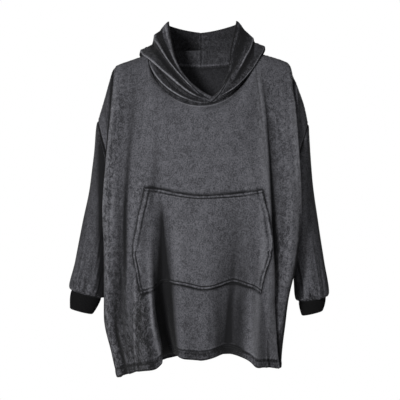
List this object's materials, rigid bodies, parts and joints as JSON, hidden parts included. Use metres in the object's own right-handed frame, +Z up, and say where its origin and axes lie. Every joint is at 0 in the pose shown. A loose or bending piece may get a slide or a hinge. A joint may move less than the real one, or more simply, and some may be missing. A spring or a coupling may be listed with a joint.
{
  "type": "wearable blanket hoodie",
  "caption": "Oversized fleece pullover blanket in worn form, with dropped shoulders, a soft hood, a pouch pocket and ribbed cuffs.",
  "frame": {"origin": "between the shoulders at the base of the neck, where a wearer carries the garment", "axes": "+Z up to the hood, -Y to the front, +X to the right of a viewer who faces the front"},
  "size_m": [0.7056, 0.3426, 0.9568],
  "materials": {
    "fleece": "soft short-pile fleece",
    "rib_knit": "matt rib knit"
  },
  "bodies": {
    "root": {"front": "fleece", "back": "fleece", "hood_left": "fleece", "hood_right": "fleece", "sleeve_left": "fleece", "sleeve_right": "fleece", "cuff_left": "rib_knit", "cuff_right": "rib_knit", "pocket": "fleece"}
  },
  "joints": []
}
